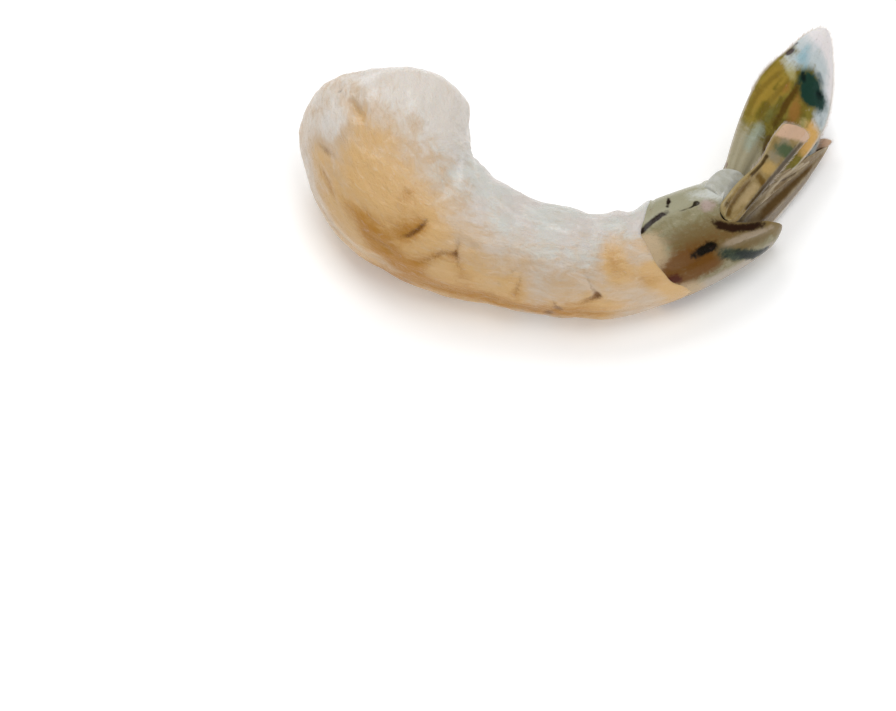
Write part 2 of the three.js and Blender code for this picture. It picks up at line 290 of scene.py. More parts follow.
class Nodes:
    """A node tree, for a material or for geometry."""

    def __init__(self, tree):
        self.tree = tree

    def add(self, kind, settings=None, inputs=None, out=0):
        node = self.tree.nodes.new(kind)
        for key, value in (settings or {}).items():
            setattr(node, key, value)
        for key, value in (inputs or {}).items():
            if isinstance(value, Wire):
                self.tree.links.new(value.socket, node.inputs[key])
            else:
                node.inputs[key].default_value = value
        return Wire(self, node.outputs[out]) if len(node.outputs) else None

    def mark(self, name, vector=False):
        settings = {"attribute_name": name}
        return self.add("ShaderNodeAttribute", settings, out="Vector" if vector else "Fac")

    def noise(self, vector, scale, detail=3.0, roughness=0.5, warp=0.0):
        values = {
            "Vector": vector, "Scale": scale, "Detail": detail, "Roughness": roughness, "Distortion": warp}
        return self.add("ShaderNodeTexNoise", None, values, out="Fac")

    def ease(self, value, low, high):
        """0 below low and 1 above high, with a soft step between."""
        values = {"Value": value, "From Min": low, "From Max": high}
        return self.add("ShaderNodeMapRange", {"interpolation_type": "SMOOTHSTEP"}, values)

    def mix(self, a, b, share, blend="MIX"):
        settings = {"data_type": "RGBA", "blend_type": blend, "clamp_factor": True}
        return self.add("ShaderNodeMix", settings, {0: share, 6: a, 7: b}, out=2)

    def stain(self, tone, color, where, low, high, share=1.0):
        """The tone with a colour over it where a mark or noise rises from low to high."""
        return self.mix(tone, paint(*color), self.ease(where, low, high) * share)

    def bump(self, strength, distance, height):
        values = {"Strength": strength, "Distance": distance, "Height": height}
        return self.add("ShaderNodeBump", None, values, out="Normal")

    def surface(self, values):
        shade = self.add("ShaderNodeBsdfPrincipled", {"subsurface_method": "RANDOM_WALK"}, values)
        self.add("ShaderNodeOutputMaterial", None, {"Surface": shade})

    def millimetres(self):
        place = self.add("ShaderNodeTexCoord", out="Object")
        return self.add("ShaderNodeVectorMath", {"operation": "SCALE"}, {0: place, "Scale": 1000.0})


def paint(red, green, blue):
    """A colour given as 0 to 255 on a screen, as the linear colour that a node takes."""
    screen = np.array((red, green, blue)) / 255
    linear = np.where(screen <= 0.04045, screen / 12.92, ((screen + 0.055) / 1.055) ** 2.4)
    return (*(float(x) for x in linear), 1.0)


def finish_of(name):
    material = bpy.data.materials.new(name)
    material.use_nodes = True
    material.node_tree.nodes.clear()
    return material, Nodes(material.node_tree)


# Rows of the muscle: the rounded neck, the bare segments, and the blunt end inside the shell.
NECK_CAP = 9
BARE_END = 70.6
TUCKED = 72
MEAT_END = 77
BLUNT = 2.5
cap = np.linspace(0, math.pi / 2, 58)
bare_s = np.linspace(NECK_CAP, BARE_END, 302)[1:]
inner = np.linspace(math.pi / 2, 0, 7)[1:]
row_s = np.concatenate((
    NECK_CAP * (1 - np.cos(cap)), bare_s,
    (TUCKED, MEAT_END - BLUNT), MEAT_END - BLUNT * (1 - np.cos(inner))))
row_scale = np.concatenate((np.sin(cap) ** 0.7, np.ones(len(bare_s) + 2), np.sin(inner) ** 0.6))
row_scale[0] = row_scale[-1] = 0
AROUND = 224
MEAN_GIRTH = 1.1


def round_body(count):
    """Even angles round the body, from the lower flank back to it."""
    return np.radians(np.arange(count) * 360 / count - 180)


S, PHI = np.meshgrid(row_s, round_body(AROUND), indexing="ij")
SCALE = np.repeat(row_scale[:, None], AROUND, 1)
FOLD = fold_of(PHI)
near = ease(-0.05, 0.05, np.cos(PHI))


def on_body(s, turn):
    return s, math.radians(turn) * float(girth(FLANK, s)) * MEAN_GIRTH


radius = girth(FLANK, S) * MEAN_GIRTH
meat = Canvas(S + 1.3 * (1 - near), np.radians(FOLD) * radius, on_body)

# Creases, folds, stains, painted shade and painted highlights of the flank, as (mm from the neck, degrees
# round the body).
crease_lines = 0
for start, strength in zip(starts[1:-1], (0.2, 0.7, 0.6, 0.6)):
    bow = 2.4 * np.cos(PHI) ** 2
    crease_lines += strength * bell(S - start - bow, 1.6)
smile_path = [(29.0, 50, 0.25), (30.1, 42, 0.9), (30.8, 33), (31.1, 26, 0.9), (31.4, 18, 0.3)]
smile = meat.line(smile_path, 0.48)
smile_halo = meat.line(smile_path, 1.5)
tick = meat.line([(26.6, 2, 0.5), (27.2, 9, 0.8), (28.6, 14, 0.5), (30.4, 17, 0.3)], 0.6)
fork = meat.line([(36.6, 20, 0.3), (36.8, 30, 0.8), (37.0, 40), (37.6, 50, 0.8), (38.2, 58, 0.3)], 0.5)
fork_arm = meat.line(
    [(36.8, 41, 0.8), (35.2, 44), (34.4, 50, 0.9), (33.4, 57, 0.7), (32.4, 66, 0.4)], 0.55)
low_fold = meat.line([(23.5, 59, 0.3), (26, 62, 0.8), (28.4, 64, 0.9), (29.6, 68, 0.4)], 0.55)
squiggle = np.maximum(
    meat.line([(46.8, 36, 0.4), (45.9, 42, 0.7), (45.0, 49, 0.5), (44.4, 54, 0.3)], 0.5),
    meat.line([(46.7, 42, 0.3), (47.0, 52, 0.7), (46.6, 62), (46.5, 71, 0.6)], 0.5))
bead = meat.spot(43.9, 62, 0.6, 0.7)
branch = meat.line([(56.2, 24, 0.3), (57.2, 40, 0.6), (58.0, 52, 0.8), (58.6, 60)], 0.45)
branch_arm = meat.line([(58.7, 60), (57.6, 65, 0.9), (56.4, 70, 0.4)], 0.6)
dot = np.maximum(
    meat.spot(53, 83, 1.0, 1.1), meat.line([(53, 82), (52.5, 72, 0.45), (52, 60, 0.2)], 0.5))
neck_pit = meat.line([(10.2, 18, 0.8), (11.3, 15), (12.8, 11, 0.6)], 0.7)
neck_lobe = meat.spot(10.6, -1, 2.6, 2.4)
neck_knob = meat.spot(12.6, 28, 3.0, 2.6)
neck_spot = meat.spot(16.0, 4, 0.7, 0.6)
vein_end = meat.spot(7.5, 28, 0.5, 0.5)
left_mark = meat.line([(14.2, 50, 0.7), (15.2, 46), (16.6, 41, 0.6)], 0.7)
left_fold = meat.line([(15.6, 60, 0.4), (17.2, 57, 0.9), (18.6, 56, 0.8), (20.6, 60, 0.3)], 0.7)
ring_line = meat.line([(60.2, 15, 0.3), (60.7, 9, 0.8), (61.4, 3, 0.4)], 0.5)
# Painted highlights: whitish glint lines, which also raise the surface a little.
glints = 0
for path in (
        [(25.0, -62, 0.4), (28.5, -48), (31.5, -33), (33.2, -22, 0.4)],
        [(29.5, -66, 0.4), (33.0, -50), (36.5, -36, 0.5)],
        [(38.0, -34, 0.4), (41.5, -24), (44.5, -19, 0.5)],
        [(42.0, -44, 0.4), (46.5, -32), (49.5, -25, 0.5)],
        [(47.0, -20, 0.4), (52.5, -11), (55.5, -7, 0.5)],
        [(56.0, -52, 0.4), (58.5, -36, 0.9), (59.5, -18, 0.4)],
        [(9.0, -30, 0.3), (12.0, -22, 0.9), (14.5, -14, 0.6)]):
    glints = np.maximum(glints, meat.line(path, 0.85))

# Each fold as (depth, darkness, where); the darkness is partly the flesh's own dark marks, partly painted
# shade in the fold.
grooves = dark = 0
for depth, darkness, fold in (
        (1.0, 1.0, smile), (0.5, 0.35, tick), (1.0, 0.55, fork), (0.8, 0.6, fork_arm),
        (0.6, 0.45, low_fold), (0.7, 0.55, squiggle), (0.7, 0.5, branch), (1.0, 0.8, branch_arm),
        (0.8, 0.9, dot), (0.8, 0.6, left_mark), (1.0, 0.35, left_fold), (0.5, 0.45, bead),
        (0.4, 0.4, ring_line)):
    grooves += depth * fold
    dark += darkness * fold
# The neck pit adds painted shade; the neck spot and the vein's end are dark marks of the flesh.
dark = np.clip(dark + 0.4 * neck_pit + 0.45 * neck_spot + 0.6 * vein_end, 0, 1)

seam_run = ease(5, 10, S) * (1 - ease(61, 66, S))
back_seam = bell(np.radians(FOLD - 90) * girth(FLANK, S), 0.9) * seam_run
belly_run = ease(4, 9, S) * (1 - ease(61, 66, S))
belly_seam = bell(np.radians(FOLD + 90) * girth(FLANK, S), 2.0) * belly_run

# The torn front: a dip at the top of the rim, a full shoulder to the belly side, knobs between.
torn = -bell(S - 4.6, 3.0) * bell(FOLD + 54, 30) * near
torn += bell(S - 5.4, 1.8) * bell(FOLD - 14, 17) * near
torn -= 0.45 * bell(S - 4.6, 2.4) * bell(FOLD - 50, 16)
knobs = np.cos(3 * PHI + 0.7) * 0.45 + np.cos(5 * PHI - 1.1) * 0.3
torn += knobs * bell(S - 2.6, 1.9) * (1 - 0.7 * near)

bare = 1 - ease(SHELL_START - 4, SHELL_START - 1, S)
relief = crease_lines * (0.45 - 0.15 * np.maximum(0, -np.sin(PHI)))
relief += 0.2 * back_seam + belly_seam + torn + 0.18 * smile_halo - 0.08 * glints
relief += 0.28 * grooves + 0.75 * neck_pit - 0.5 * neck_lobe - 0.3 * neck_knob + 0.5 * vein_end
tuck_start = SHELL_START - 0.3 + 0.3 * ease(-5, 5, FOLD)
tuck = 0.45 * ease(0, 1, S - tuck_start)
puckers = 0.2 * np.sin(FOLD / 9 + 2 * np.sin(S / 2.1)) * bell(S - 4, 3.5) * SCALE
row = np.where(SCALE > 0, leant(S, PHI), S)
# The belly edge waves a little, slack between its segments.
waves = bell(S - 65.2, 2.2) - 0.45 * bell(S - 62.4, 1.3) - 0.4 * bell(S - 53.5, 3.0)
waves += 0.6 * bell(S - 46.5, 3.2) - 0.3 * bell(S - 34.0, 1.6) + 0.25 * bell(S - 37.5, 2.4)
slack = waves * bell(FOLD + 80, 32)
sunk = tuck + slack + (relief + puckers) * bare - fuller(row, PHI)
muscle_points = skin(row, PHI, sunk * SCALE, SCALE)
muscle_points[..., 2] = np.maximum(muscle_points[..., 2], 0)

# Stains of the flesh: the amber of the back near the neck, with painted shade in its folds and along the
# lower edge of the back, and the clear grey of the belly side.
to_shell = S - SHELL_START
amber = meat.spots(
    (1.0, 21.5, 24, 9.0, 6.6), (0.75, 29, 30, 6.5, 7.5), (0.6, 40, 50, 8.5, 7.5), (0.45, 40, 74, 6, 4),
    (0.55, 46.2, 62, 2.2, 4.4), (0.7, 58.6, 78, 3, 3.4), (0.5, 15.4, 54, 2.6, 2.4), (0.16, 22, -26, 7, 3),
    (0.6, 61.6, 20, 1.8, 3.0), (0.6, 63.0, 34, 3.0, 2.2), (0.45, 62.5, 56, 5.5, 3), (0.3, 64.0, 4, 2.6, 3.0),
    (0.3, 16, -2, 4, 3.5), (0.22, 54, 22, 6, 3.4), (0.4, 23, 66, 4, 3), (0.35, 64, 20, 3, 4),
    (0.3, 13.2, 13, 2.4, 1.4), (-0.4, 12, 34, 3.0, 2.8))
amber += 0.5 * ease(22, 62, FOLD) * bell(S - 53.5, 4.2)
amber += 0.22 * ease(0, 30, FOLD) * (1 - ease(9, 14, S))
# Amber towards the lower edge of the back: partly the flesh's own amber, partly painted shade.
amber += 0.6 * ease(44, 66, FOLD) * bell(S - 26, 13)
amber += 0.35 * ease(62, 88, FOLD) * ease(34, 44, S)
amber += 0.5 * ease(-3.5, -0.2, to_shell) * ease(-12, 10, FOLD)
amber += 0.55 * ease(-5.5, -1.0, to_shell) * ease(22, 36, FOLD)
amber = np.clip(amber + 0.3 * neck_pit, 0, 1)
deep = meat.spots(
    (0.3, 28, 24, 2.6, 5.5), (0.4, 26.8, 10, 1.4, 2.0), (0.35, 29.5, 72, 3.6, 2.2), (0.4, 27.5, 68, 4, 2.2),
    (0.35, 63.2, 31, 2.4, 2.0), (0.35, 61.8, 20, 1.5, 3.0), (0.3, 39.5, 66, 2.2, 1.8),
    (0.5, 66.8, 50, 2.4, 1.8), (0.3, 55.0, 68, 2.0, 2.0))
# Deep amber lines along the folds, partly painted shade.
deep += meat.lines(
    (0.8, 2.0, (17.5, 62, 0.3), (21, 56, 0.5), (24.4, 52), (26.0, 57), (28.4, 62, 0.8), (30.4, 66, 0.4)),
    (0.75, 1.4, (36.4, 43, 0.5), (34.2, 51, 0.9), (32.8, 62, 0.9), (31.6, 75, 0.7)),
    (0.5, 1.7, (26.8, 46, 0.4), (29.2, 42), (30.6, 31, 0.8)),
    (0.45, 1.3, (36.6, 26, 0.3), (37.2, 42), (38.4, 60, 0.7)),
    (0.5, 1.2, (46.8, 46, 0.4), (46.6, 66)))
# Painted shade: a darker amber band along the lower edge of the back.
deep += 0.6 * ease(60, 84, FOLD) * ease(22, 34, S) * (1 - ease(58, 64, S))
deep += 0.3 * ease(74, 88, FOLD) * ease(24, 34, S) * (1 - ease(55, 60, S))
# Painted shade round the smile crease and in two folds.
deep = np.clip(deep + 0.5 * smile_halo + 0.4 * branch_arm + 0.4 * left_fold, 0, 1)
clear = ease(8, -60, FOLD)
pink = 1 - ease(15, 32, S)
fibre = np.stack((S * 0.5, np.sin(PHI) * radius * SCALE, np.cos(PHI) * radius * SCALE), -1)
on_table = ease(0.0, 0.8, muscle_points[..., 2])

muscle = closed_mesh("muscle", muscle_points, {
    "amber": amber, "deep": deep, "dark": dark, "clear": clear, "pink": pink, "glint": glints,
    "bare": bare * on_table, "fibre": fibre,
})

flesh, n = finish_of("flesh")
place = n.millimetres()
grain = n.mark("fibre", vector=True)
cloud = n.noise(place, 0.17, 3, 0.55)
mottle = n.noise(grain, 0.5, 4, 0.6, 0.6)
blotch = n.noise(grain, 1.1, 4, 0.65, 0.8)
strand = n.noise(grain, 2.4, 4, 0.6, 0.5)
fine = n.noise(place, 3.4, 3, 0.6)
cool = n.mix(paint(203, 202, 195), paint(205, 197, 190), n.ease(cloud, 0.38, 0.62))
cool = n.stain(cool, (188, 190, 182), mottle, 0.48, 0.72, n.mark("clear") * 0.7)
cool = n.mix(cool, paint(219, 211, 202), n.mark("pink") * 0.9)
warm = n.mix(paint(207, 188, 166), paint(200, 176, 148), n.ease(mottle, 0.35, 0.65))
stain = n.mark("amber") + (mottle - 0.5) * 0.7 + (blotch - 0.5) * 0.5
tone = n.mix(cool, warm, n.ease(stain, 0.0, 0.45))
tone = n.stain(tone, (211, 173, 118), stain, 0.3, 1.05)
# Deep amber stains, with the painted shade of the folds and of the back's lower edge.
deep_stain_and_shade = n.mark("deep") + (blotch - 0.5) * 1.1 + (fine - 0.5) * 0.4
tone = n.stain(tone, (174, 118, 18), deep_stain_and_shade, 0.15, 1.1, 0.88)
# Painted shade in the folds and the neck pit, with the flesh's own dark marks.
crease_shade_and_marks = n.mark("dark") + (fine - 0.5) * 0.7 + (blotch - 0.5) * 0.5
tone = n.stain(tone, (112, 66, 4), crease_shade_and_marks, 0.2, 1.1, 0.88)
# Painted highlight along the glint lines and the strands.
painted_glint = n.mark("glint") + (strand - 0.5) * 1.4
tone = n.stain(tone, (230, 228, 224), painted_glint, 0.3, 1.2, 0.4)
tone = n.stain(tone, (228, 224, 216), blotch, 0.56, 0.74, 0.22)
height = blotch + strand * 0.55 + fine * 0.18
n.surface({
    "Base Color": tone, "Roughness": 0.2 + fine * 0.2, "Normal": n.bump(0.6, 0.0004, height), "IOR": 1.4,
    "Subsurface Weight": 0.4, "Subsurface Radius": (1.0, 0.75, 0.55), "Subsurface Scale": 0.0022,
    "Coat Weight": 0.3, "Coat Roughness": 0.08, "Specular IOR Level": 0.45,
})


def grown(piece, tree, values):
    """Works out a piece's Geometry Nodes and leaves it as a plain mesh."""
    step = piece.modifiers.new(tree.name, "NODES")
    step.node_group = tree
    for item in tree.interface.items_tree:
        if item.item_type == "SOCKET" and item.in_out == "INPUT" and item.name in values:
            step[item.identifier] = values[item.name]
    bpy.context.view_layer.update()
    made = bpy.data.meshes.new_from_object(piece.evaluated_get(bpy.context.evaluated_depsgraph_get()))
    piece.modifiers.clear()
    piece.data = made
    made.name = piece.name


def tree_of(name, inputs):
    tree = bpy.data.node_groups.new(name, "GeometryNodeTree")
    tree.interface.new_socket("Geometry", in_out="OUTPUT", socket_type="NodeSocketGeometry")
    tree.interface.new_socket("Geometry", in_out="INPUT", socket_type="NodeSocketGeometry")
    for label, kind, value in inputs:
        socket = tree.interface.new_socket(label, in_out="INPUT", socket_type=kind)
        if value is not None:
            socket.default_value = value
    nodes = Nodes(tree)
    given = tree.nodes.new("NodeGroupInput")
    return tree, nodes, {socket.name: Wire(nodes, socket) for socket in given.outputs if socket.name}


def close_tree(g, geometry, finish):
    whole = g.add("GeometryNodeRealizeInstances", None, {0: geometry})
    dressed = g.add("GeometryNodeSetMaterial", None, {"Geometry": whole, "Material": finish})
    g.add("NodeGroupOutput", None, {0: dressed})


# Fibre relief: the bare muscle stands up a little between its fibre bundles.
relief_tree, g, given = tree_of("muscle_relief", [
    ("Depth", "NodeSocketFloat", 0.0002),
    ("Bundle", "NodeSocketFloat", 0.7),
    ("Seed", "NodeSocketFloat", 4.0),
    ("Flesh", "NodeSocketMaterial", None),
])
fibres = g.add("GeometryNodeInputNamedAttribute", {"data_type": "FLOAT_VECTOR"}, {"Name": "fibre"})
bareness = g.add("GeometryNodeInputNamedAttribute", {"data_type": "FLOAT"}, {"Name": "bare"})
bundles = g.add("ShaderNodeTexNoise", {"noise_dimensions": "4D"}, {
    "Vector": fibres, "W": given["Seed"], "Scale": given["Bundle"], "Detail": 4.0, "Roughness": 0.55,
}, out="Fac")
rise = (bundles - 0.5) * given["Depth"] * 2.0 * bareness
normal = g.add("GeometryNodeInputNormal")
offset = g.add("ShaderNodeVectorMath", {"operation": "SCALE"}, {0: normal, "Scale": rise})
moved = g.add("GeometryNodeSetPosition", None, {"Geometry": given["Geometry"], "Offset": offset})
close_tree(g, moved, given["Flesh"])
grown(muscle, relief_tree, {"Depth": 0.0005, "Bundle": 0.42, "Seed": 4.0, "Flesh": flesh})
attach(muscle, "root")
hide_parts("meat")


# Shell of the last segment. One thin, horny plate bent round the muscle as a sleeve, with a lobe
# and a keel on each flank and a hood over the base of the telson.

# The rear hem leans with the fold: drawn in at the pocket of each flank, out in a hood on the back.
HEM_FOLDS = np.array((-90, -40, -25, -12, 0, 10, 17, 22, 28, 33, 38, 44, 50, 60, 70, 80, 90), float)
HEM_LEANS = np.array((
    -3.2, -3.1, -3.8, -5.5, -7.2, -7.4, -6.4, -5.2, -3.7, -2.2, -0.9, 0.2, 1.2, 2.4, 3.1, 3.2, 3.0))
WALL = 0.3
FRONT = SHELL_START + 0.25
SHELL_RADIUS = 7.6
FAR_SHARE = 0.8
ALONG_ROWS = 110
RIM_ROWS = 5
SHELL_AROUND = 288
run = np.linspace(0, 1, ALONG_ROWS)
rim = np.radians(np.linspace(90, -90, RIM_ROWS + 2)[1:-1])
# Outside from front to rear, round the rear rim, inside back to the front, round the front rim.
sleeve_run = np.concatenate((run, np.ones(RIM_ROWS), run[::-1], np.zeros(RIM_ROWS)))
sleeve_inset = np.concatenate((
    np.zeros(ALONG_ROWS), WALL / 2 * (1 - np.sin(rim)),
    np.full(ALONG_ROWS, WALL), WALL / 2 * (1 + np.sin(rim))))
sleeve_out = np.concatenate((
    np.zeros(ALONG_ROWS), WALL / 2 * np.cos(rim), np.zeros(ALONG_ROWS), -WALL / 2 * np.cos(rim)))
RUN, PHI6 = np.meshgrid(sleeve_run, round_body(SHELL_AROUND), indexing="ij")
fold6 = fold_of(PHI6)
INSET = np.repeat(sleeve_inset[:, None], SHELL_AROUND, 1)
OUTER = 1 - INSET / WALL
front_edge = FRONT + front_lean(PHI6)
rear_edge = LENGTH + along(HEM_FOLDS, HEM_LEANS, fold6)
place6 = front_edge + (rear_edge - front_edge) * RUN + np.repeat(sleeve_out[:, None], SHELL_AROUND, 1)


def on_shell(s, turn):
    return s, math.radians(turn) * SHELL_RADIUS


TURN6 = np.degrees(PHI6)
FAR_TURN6 = 180 - np.where(TURN6 < 0, TURN6 + 360, TURN6)
shell_side = Canvas(place6, np.radians(TURN6) * SHELL_RADIUS, on_shell)
far_side = Canvas(place6, np.radians(FAR_TURN6) * SHELL_RADIUS, on_shell)


def shell_line(points, half):
    """The same line on the near flank and, weaker, on the far one."""
    return np.maximum(shell_side.line(points, half), FAR_SHARE * far_side.line(points, half))


def shell_spot(*where):
    return np.maximum(shell_side.spot(*where), FAR_SHARE * far_side.spot(*where))


# The keel line raises the keel ridge and carries a painted highlight along its crest.
keel_and_highlight = shell_line([(75.6, 36, 0.3), (77.5, 37, 0.8), (80, 39), (83, 43), (85.8, 49, 0.6)], 0.8)
keel_shade = shell_line([(76.0, 42, 0.3), (79, 46), (82, 50), (85, 56, 0.8), (88, 68, 0.5)], 1.0)
scar = shell_line([(71.8, -24, 0.3), (73.4, -22, 0.6), (75.2, -21, 0.7), (76.4, -23, 0.9)], 0.3)
scar_end = shell_spot(76.6, -24, 0.62, 0.55)
# The dark line at the shell's front edge on the belly side: the edge with its painted shadow, also cut in a
# little.
front_edge_and_shadow = np.maximum(
    shell_line([(65.7, -9), (67.0, -15), (68.4, -20.5), (69.9, -25), (71.3, -27, 0.5)], 0.55),
    shell_line([(71.9, -35, 0.7), (72.7, -42), (73.3, -50, 0.6)], 0.42))
ventral_dip = bell(fold6 + 90, 24)
hood_fall = 1.2 * ease(84, 91, place6) * ease(0.3, 0.9, np.sin(PHI6))
shell_relief = -0.4 * keel_and_highlight + 0.2 * keel_shade + 0.1 * scar + 0.04 * front_edge_and_shadow + 0.6 * ventral_dip * OUTER
shell_relief *= ease(0.0, 0.06, RUN) * (1 - 0.9 * ease(0.93, 1.0, RUN))
from_front = place6 - front_edge
edge_dip = 0.16 * (1 - ease(0.2, 1.5, from_front)) - 0.03
shell_points = skin(place6, PHI6, INSET + shell_relief + edge_dip - hood_fall - fuller(place6, PHI6))

front_band = (1 - ease(0.0, 4.2, from_front)) * ease(-14, 4, fold6)
front_band *= (1 - 0.7 * ease(38, 48, fold6) * (1 - ease(58, 68, fold6)))
black = shell_line([(72.4, 34, 0.8), (73.5, 33), (74.9, 32), (75.6, 33, 0.6)], 1.0)
teal = shell_line([
    (75.8, 38, 0.4), (76.8, 48, 0.9), (78.3, 57, 0.9), (80.4, 66, 0.9), (82.3, 77), (84.2, 84)], 1.25)
ink = shell_line([(76.6, 50, 0.6), (78.2, 54, 0.5), (80.2, 65, 0.9), (82, 77), (84.4, 84)], 1.1)
brown = np.clip(
    shell_spot(71.6, 44, 3.7, 2.9) + 0.6 * shell_spot(69.0, 50, 1.9, 1.7)
    + 0.9 * shell_line([(68.6, 46, 0.7), (70, 44), (73, 46, 0.8), (75, 56, 0.5)], 1.9)
    + 0.4 * shell_line([(71, 26, 0.3), (75, 24, 0.8), (78, 26), (81, 33, 0.6)], 1.7), 0, 1)
red_spot = shell_spot(68.6, 55, 1.0, 0.9)
shade_band = ease(-16, 16, fold6) * (1 - 0.7 * ease(50, 70, fold6)) * ease(0.5, 5.5, from_front)
pale_belly = ease(-8, -32, fold6)
# Pale cuticle near the fan's base, with painted glints on it.
whitish_and_glint = shell_line([(77.4, -36, 0.6), (80.0, -30), (81.4, -20), (81.2, -11, 0.7)], 1.9)
whitish_and_glint = np.maximum(whitish_and_glint, 0.5 * shell_line([(79.6, -30), (80.6, -60)], 1.6))
pinkish = shell_spot(77.8, -15, 1.6, 1.4)
# Painted shadow under the fan's base along the rear hem, over the dark joint membrane.
hem_and_shadow = shell_line([
    (77.0, 7, 0.6), (77.7, 14), (78.9, 22), (80.8, 29), (82.6, 34), (84.2, 38, 0.8), (85.4, 42, 0.3)], 0.85)
pale_low = ease(62, 82, fold6) * ease(69.5, 73.5, place6) * (1 - 0.6 * ease(84, 87, place6))
honey = shell_line([(85.6, 46, 0.9), (87.0, 56), (88.6, 68)], 1.9)

shell = closed_mesh("tail_sleeve", shell_points, {
    "front": front_band, "black": black, "teal": teal, "ink": ink, "brown": brown, "honey": honey,
    "red": red_spot, "shade": shade_band, "belly": pale_belly, "hem_and_shadow": hem_and_shadow, "low": pale_low,
    "whitish_and_glint": whitish_and_glint, "pinkish": pinkish,
    "keel_and_highlight": keel_and_highlight, "scar": np.clip(scar + 1.3 * scar_end, 0, 1), "line": front_edge_and_shadow,
    "fibre": np.stack((place6 * 0.35, np.sin(PHI6) * SHELL_RADIUS, np.cos(PHI6) * SHELL_RADIUS), -1),
}, poles=False)


def cuticle(name, ground, veil, layers, gloss=(0.14, 0.16), streaks=2.0):
    """Horny skin: two mottled ground tones, a painted highlight along fine strands, pale blots, then stains
    of (mark, colour, low, high, share) over them and pores, all under a wet film."""
    material, n = finish_of(name)
    place = n.millimetres()
    grain = n.mark("fibre", vector=True)
    cloud = n.noise(place, 0.45, 4, 0.6, 0.6)
    strand = n.noise(grain, streaks, 3, 0.6)
    blot = n.noise(place, 1.3, 3, 0.6, 0.5)
    pores = n.noise(place, 5.0, 2, 0.6)
    tone = n.mix(paint(*ground), paint(*veil), n.ease(cloud, 0.36, 0.64))
    # Painted highlight: lighter streaks along the grain.
    tone = n.mix(tone, paint(255, 250, 236), n.ease(strand, 0.56, 0.8) * 0.3, "SOFT_LIGHT")
    tone = n.stain(tone, (206, 200, 180), blot, 0.58, 0.78, 0.22)
    for mark, color, low, high, share in layers:
        ragged = n.mark(mark) + (cloud - 0.5) * 0.5 + (blot - 0.5) * 0.6 + (strand - 0.5) * 0.5
        tone = n.stain(tone, color, ragged, low, high, share)
    tone = n.stain(tone, (52, 40, 20), pores, 0.56, 0.78, 0.32)
    height = cloud * 0.8 + strand * 0.5 + pores * 0.1
    n.surface({
        "Base Color": tone, "Roughness": gloss[0] + strand * gloss[1], "IOR": 1.5,
        "Normal": n.bump(0.4, 0.00016, height),
        "Subsurface Weight": 0.08, "Subsurface Radius": (1.0, 0.7, 0.4), "Subsurface Scale": 0.001,
        "Coat Weight": 0.07, "Coat Roughness": 0.08, "Specular IOR Level": 0.16,
    })
    return material


shell_finish = cuticle("tail_shell_horn", (146, 140, 112), (130, 122, 90), [
    ("shade", (112, 92, 54), 0.15, 1.0, 0.9),
    ("belly", (158, 155, 130), 0.1, 0.95, 0.9),
    # Pale cuticle with painted glints.
    ("whitish_and_glint", (202, 204, 198), 0.15, 0.95, 0.9),
    ("pinkish", (176, 156, 150), 0.2, 0.95, 0.8),
    ("low", (178, 166, 152), 0.2, 0.95, 0.85),
    ("front", (186, 162, 128), 0.0, 0.9, 0.9),
    ("honey", (122, 102, 60), 0.2, 0.95, 0.85),
    ("brown", (106, 66, 14), 0.1, 1.0, 0.94),
    # Painted highlight along the keel's crest.
    ("keel_and_highlight", (162, 146, 124), 0.3, 0.95, 0.78),
    # Painted shadow along the rear hem, with the dark membrane.
    ("hem_and_shadow", (34, 12, 4), 0.3, 0.85, 0.96),
    ("teal", (52, 66, 50), 0.2, 0.85, 0.94),
    ("ink", (14, 26, 24), 0.25, 0.9, 0.95),
    ("black", (8, 6, 1), 0.25, 0.8, 0.98),
    ("red", (74, 24, 0), 0.1, 0.7, 0.97),
    ("scar", (30, 20, 4), 0.35, 0.9, 0.95),
    # Painted shadow under the shell's front edge.
    ("line", (30, 14, 0), 0.2, 0.8, 1.0),
])
shell.data.materials.append(shell_finish)
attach(shell, "root")
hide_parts("tail_shell")


# Telson. The stiff middle spike of the fan: a long, tapered plate with a groove down its back
# between two ridges, hinged under the shell's hood.

# Each leaf: where its base stands from the end of the muscle (tail, back, side), its bend, splay and
# fold in degrees, and its sizes, in mm. The lower side is pressed flatter by the table.
LOWER_FLEX, LOWER_SPLAY, LOWER_BACK = -9, -12, -0.5
HEEL = 0.08


def half_width(leaf, t):
    rise = leaf["base"] + (1 - leaf["base"]) * np.sin(np.minimum(t / leaf["widest"], 1) * math.pi / 2)
    to_tip = np.clip((t - leaf["widest"]) / (1 - leaf["widest"]), 0, 1)
    fall = (1 - to_tip ** leaf["tip"]) ** (1 / min(leaf["tip"], 2))
    heel = np.sqrt(1 - (1 - np.minimum(t / HEEL, 1)) ** 2)
    return leaf["width"] / 2 * rise * fall * heel


def leaf_axes(leaf, side):
    """Base point of a leaf on the upper (1) or lower (-1) side, and its three directions."""
    lower = side < 0
    flex = math.radians(leaf["flex"] + lower * LOWER_FLEX)
    splay = math.radians(leaf["splay"] + lower * LOWER_SPLAY)
    fold = math.radians(leaf["fold"])
    point, tail, back, flank = body_frame(np.array(LENGTH))
    out = flank * side
    down = tail * math.cos(flex) - back * math.sin(flex)
    axis = down * math.cos(splay) + out * math.sin(splay)
    flat = out * math.cos(splay) - down * math.sin(splay)
    over = back * math.cos(flex) + tail * math.sin(flex)
    across = flat * math.cos(fold) - over * math.sin(fold)
    face = over * math.cos(fold) + flat * math.sin(fold)
    base = point + tail * leaf["tail"] + back * (leaf["back"] + lower * LOWER_BACK) + out * leaf["side"]
    return base, axis, across, face


